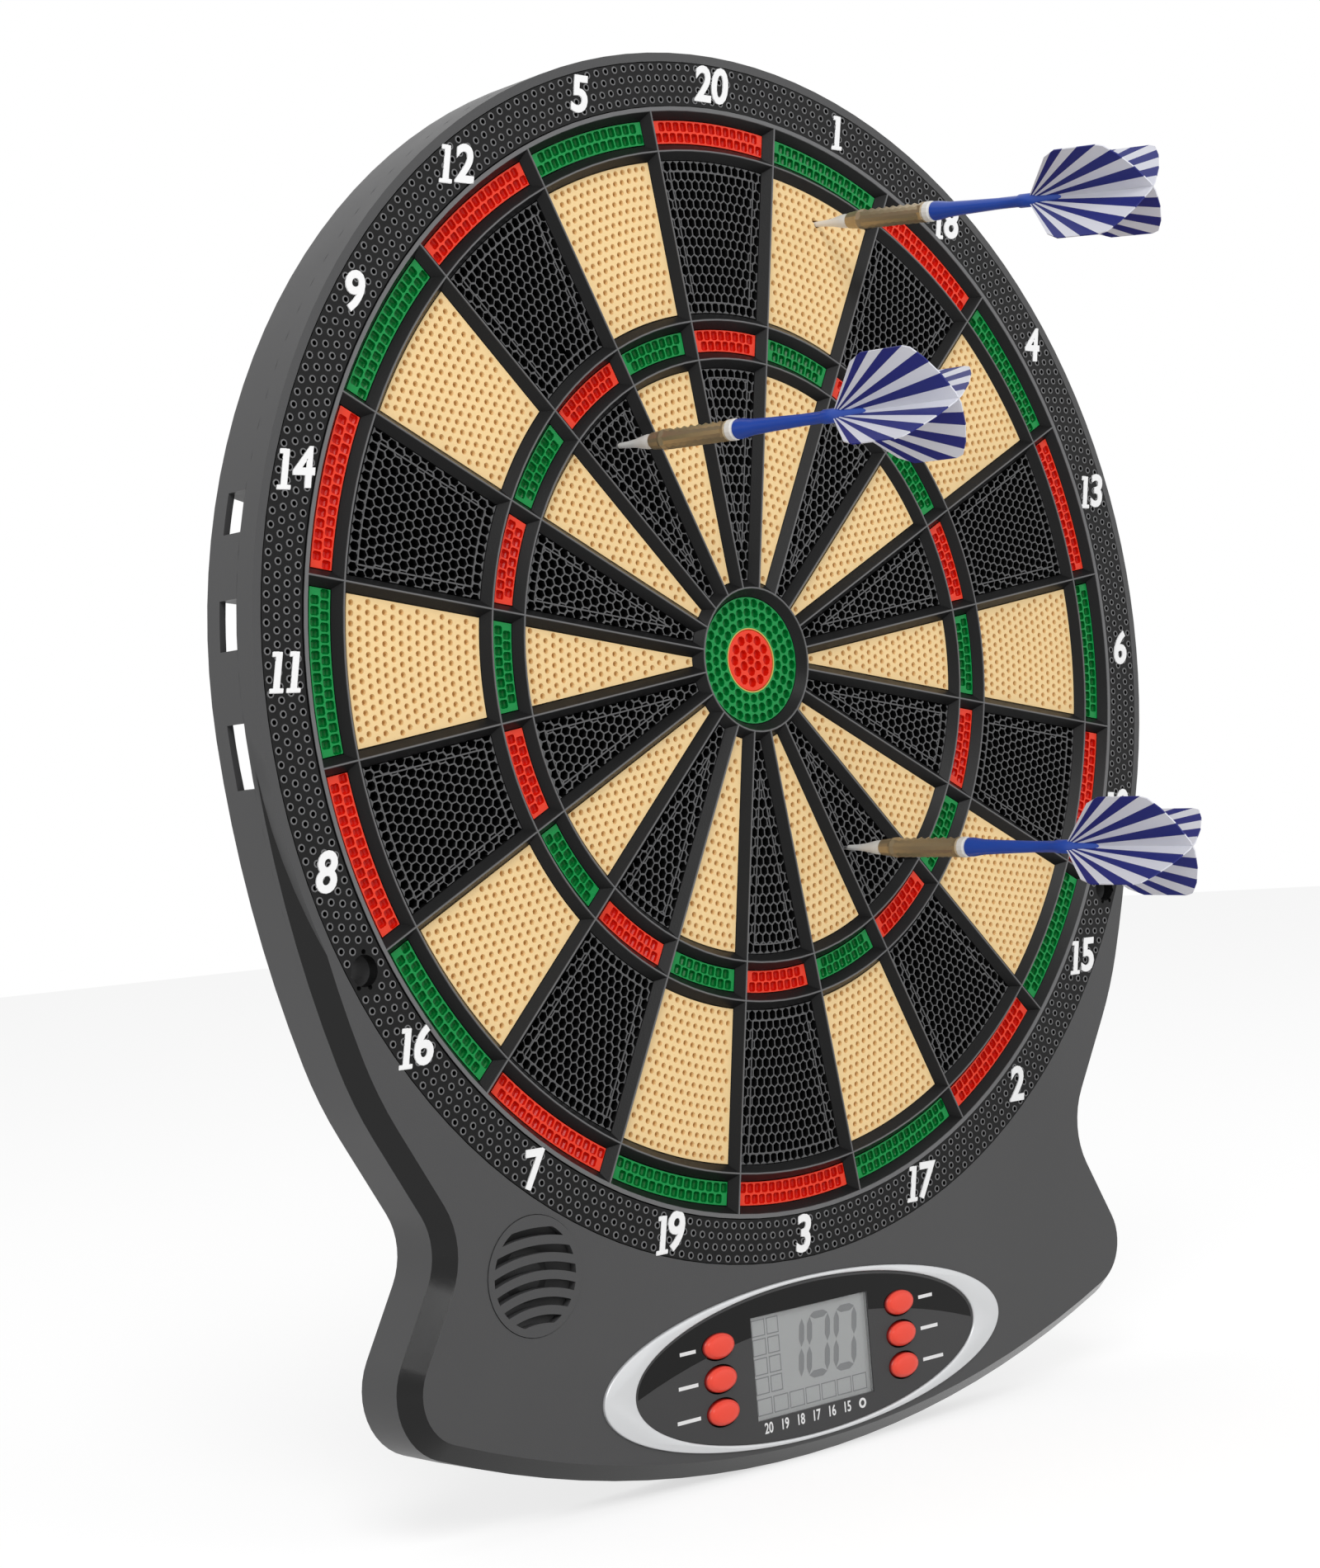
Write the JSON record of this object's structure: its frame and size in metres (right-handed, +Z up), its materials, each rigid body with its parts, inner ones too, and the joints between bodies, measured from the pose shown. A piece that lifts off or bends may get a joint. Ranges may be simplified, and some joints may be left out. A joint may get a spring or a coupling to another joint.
{
  "type": "electronic dartboard cabinet",
  "caption": "Round soft-tip dartboard in a slim wall-hung plastic casing with a control panel, display and push buttons at its foot and darts stuck in the target.",
  "frame": {"origin": "on the bull's axis, in the wall plane at the casing's back", "axes": "+X to the right as seen from the front, +Y into the wall, +Z up"},
  "size_m": [0.3786, 0.1553, 0.4375],
  "materials": {
    "housing_grey": "satin dark grey moulded casing",
    "ring_black": "glossy black catch ring",
    "web_black": "satin black web",
    "segment_red": "translucent red segments",
    "segment_green": "translucent green segments",
    "segment_black": "black segments",
    "segment_beige": "cream segments",
    "board": "pressed backing board",
    "film": "clear polyester film with printed tracks",
    "rubber": "soft rubber",
    "bezel_silver": "silver bezel",
    "panel_dark": "dark panel face",
    "window_clear": "clear window",
    "lcd": "display glass",
    "pcb_green": "circuit board",
    "electronics": "components",
    "button_red": "red oval buttons",
    "steel": "zinc-plated steel",
    "speaker": "speaker",
    "cell": "battery jacket",
    "brass": "knurled brass",
    "stem_blue": "blue stem",
    "tip_white": "soft plastic point",
    "flight": "striped flight sheet"
  },
  "bodies": {
    "housing": {"backing_board": "board", "battery_cells": "cell", "battery_contacts": "steel", "board_parts": "electronics", "board_screws": "steel", "case_screws": "steel", "catch_ring": "ring_black", "circuit_board": "pcb_green", "contact_strips": "rubber", "front_shell": "housing_grey", "keypad_rubber": "rubber", "lcd_glass": "lcd", "lcd_window": "window_clear", "panel_bezel": "bezel_silver", "panel_face": "panel_dark", "rear_shell": "housing_grey", "ribbon_tails": "film", "rubber_mat": "rubber", "sensor_sheet_front": "film", "sensor_sheet_rear": "film", "sensor_spacer": "film", "speaker": "speaker", "speaker_grille": "housing_grey", "spider_web": "web_black"},
    "doubles_red": {"doubles_red": "segment_red"},
    "doubles_green": {"doubles_green": "segment_green"},
    "trebles_red": {"trebles_red": "segment_red"},
    "trebles_green": {"trebles_green": "segment_green"},
    "outer_singles_black": {"outer_singles_black": "segment_black"},
    "outer_singles_beige": {"outer_singles_beige": "segment_beige"},
    "inner_singles_black": {"inner_singles_black": "segment_black"},
    "inner_singles_beige": {"inner_singles_beige": "segment_beige"},
    "outer_bull": {"outer_bull": "segment_green"},
    "inner_bull": {"inner_bull": "segment_red"},
    "button_left_lower": {"button_left_lower": "button_red"},
    "button_left_middle": {"button_left_middle": "button_red"},
    "button_left_upper": {"button_left_upper": "button_red"},
    "button_right_lower": {"button_right_lower": "button_red"},
    "button_right_middle": {"button_right_middle": "button_red"},
    "button_right_upper": {"button_right_upper": "button_red"},
    "battery_door": {"battery_door": "housing_grey"},
    "dart_a": {"dart_a_tip": "tip_white", "dart_a_barrel": "brass", "dart_a_stem": "stem_blue", "dart_a_flight": "flight"},
    "dart_b": {"dart_b_tip": "tip_white", "dart_b_barrel": "brass", "dart_b_stem": "stem_blue", "dart_b_flight": "flight"},
    "dart_c": {"dart_c_tip": "tip_white", "dart_c_barrel": "brass", "dart_c_stem": "stem_blue", "dart_c_flight": "flight"}
  },
  "joints": [
    {"name": "doubles_red_press", "type": "slide", "parent": "housing", "child": "doubles_red", "axis": [0, 1, 0], "range_m": [0, 0.0012], "stiffness_N_per_m": 600},
    {"name": "doubles_green_press", "type": "slide", "parent": "housing", "child": "doubles_green", "axis": [0, 1, 0], "range_m": [0, 0.0012], "stiffness_N_per_m": 600},
    {"name": "trebles_red_press", "type": "slide", "parent": "housing", "child": "trebles_red", "axis": [0, 1, 0], "range_m": [0, 0.0012], "stiffness_N_per_m": 600},
    {"name": "trebles_green_press", "type": "slide", "parent": "housing", "child": "trebles_green", "axis": [0, 1, 0], "range_m": [0, 0.0012], "stiffness_N_per_m": 600},
    {"name": "outer_singles_black_press", "type": "slide", "parent": "housing", "child": "outer_singles_black", "axis": [0, 1, 0], "range_m": [0, 0.0012], "stiffness_N_per_m": 600},
    {"name": "outer_singles_beige_press", "type": "slide", "parent": "housing", "child": "outer_singles_beige", "axis": [0, 1, 0], "range_m": [0, 0.0012], "stiffness_N_per_m": 600},
    {"name": "inner_singles_black_press", "type": "slide", "parent": "housing", "child": "inner_singles_black", "axis": [0, 1, 0], "range_m": [0, 0.0012], "stiffness_N_per_m": 600},
    {"name": "inner_singles_beige_press", "type": "slide", "parent": "housing", "child": "inner_singles_beige", "axis": [0, 1, 0], "range_m": [0, 0.0012], "stiffness_N_per_m": 600},
    {"name": "outer_bull_press", "type": "slide", "parent": "housing", "child": "outer_bull", "axis": [0, 1, 0], "range_m": [0, 0.0012], "stiffness_N_per_m": 150},
    {"name": "inner_bull_press", "type": "slide", "parent": "housing", "child": "inner_bull", "axis": [0, 1, 0], "range_m": [0, 0.0012], "stiffness_N_per_m": 150},
    {"name": "button_left_lower_press", "type": "slide", "parent": "housing", "child": "button_left_lower", "axis": [0, 1, 0], "range_m": [0, 0.0012], "stiffness_N_per_m": 150},
    {"name": "button_left_middle_press", "type": "slide", "parent": "housing", "child": "button_left_middle", "axis": [0, 1, 0], "range_m": [0, 0.0012], "stiffness_N_per_m": 150},
    {"name": "button_left_upper_press", "type": "slide", "parent": "housing", "child": "button_left_upper", "axis": [0, 1, 0], "range_m": [0, 0.0012], "stiffness_N_per_m": 150},
    {"name": "button_right_lower_press", "type": "slide", "parent": "housing", "child": "button_right_lower", "axis": [0, 1, 0], "range_m": [0, 0.0012], "stiffness_N_per_m": 150},
    {"name": "button_right_middle_press", "type": "slide", "parent": "housing", "child": "button_right_middle", "axis": [0, 1, 0], "range_m": [0, 0.0012], "stiffness_N_per_m": 150},
    {"name": "button_right_upper_press", "type": "slide", "parent": "housing", "child": "button_right_upper", "axis": [0, 1, 0], "range_m": [0, 0.0012], "stiffness_N_per_m": 150},
    {"name": "battery_door_hinge", "type": "hinge", "parent": "housing", "child": "battery_door", "pos_m": [0.0834, -0.0016, -0.1955], "axis": [0, 0, 1], "range_deg": [0, 95]},
    {"name": "dart_a_pull", "type": "slide", "parent": "outer_singles_beige", "child": "dart_a", "axis": [0, -0.9925, -0.1219], "range_m": [0, 0.06]},
    {"name": "dart_b_pull", "type": "slide", "parent": "inner_singles_black", "child": "dart_b", "axis": [0, -0.9984, -0.0558], "range_m": [0, 0.06]},
    {"name": "dart_c_pull", "type": "slide", "parent": "inner_singles_black", "child": "dart_c", "axis": [0, -0.9989, -0.0471], "range_m": [0, 0.06]}
  ]
}
